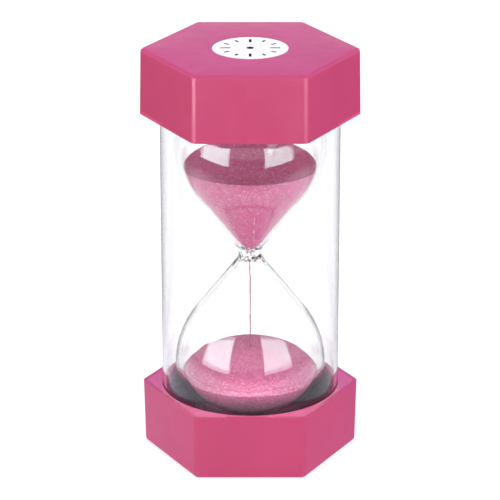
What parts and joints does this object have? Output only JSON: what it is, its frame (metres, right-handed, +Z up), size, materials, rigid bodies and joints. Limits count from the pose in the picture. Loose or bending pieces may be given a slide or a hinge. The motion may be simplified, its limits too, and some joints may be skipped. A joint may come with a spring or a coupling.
{
  "type": "sand timer",
  "caption": "Hexagonal sand timer: two moulded end caps, a clear tube, and a glass bulb in which sand runs from the upper half to the lower.",
  "frame": {"origin": "centre of the lower cap's flat face, where the timer stands", "axes": "+Z up along the tube; a flat side of each hexagonal cap faces -Y, and a corner points along +X"},
  "size_m": [0.0776, 0.0678, 0.15],
  "materials": {
    "cap_plastic": "pink moulded ABS, fine satin gloss",
    "clear_tube": "clear extruded acrylic, polished",
    "bulb_glass": "clear blown glass, thick at the ends",
    "plug_rubber": "pale soft rubber",
    "black_foam": "black closed-cell foam, matt",
    "coloured_sand": "fine dyed quartz sand",
    "label_paper": "white satin sticker paper",
    "label_ink": "black printing ink"
  },
  "bodies": {
    "root": {"upper_cap": "cap_plastic", "lower_cap": "cap_plastic", "upper_collar": "cap_plastic", "lower_collar": "cap_plastic", "outer_tube": "clear_tube", "glass_bulb": "bulb_glass", "fill_plug": "plug_rubber", "upper_foam_pad": "black_foam", "lower_foam_pad": "black_foam", "upper_sand": "coloured_sand", "lower_sand": "coloured_sand", "sand_stream": "coloured_sand", "duration_label": "label_paper"}
  },
  "joints": []
}
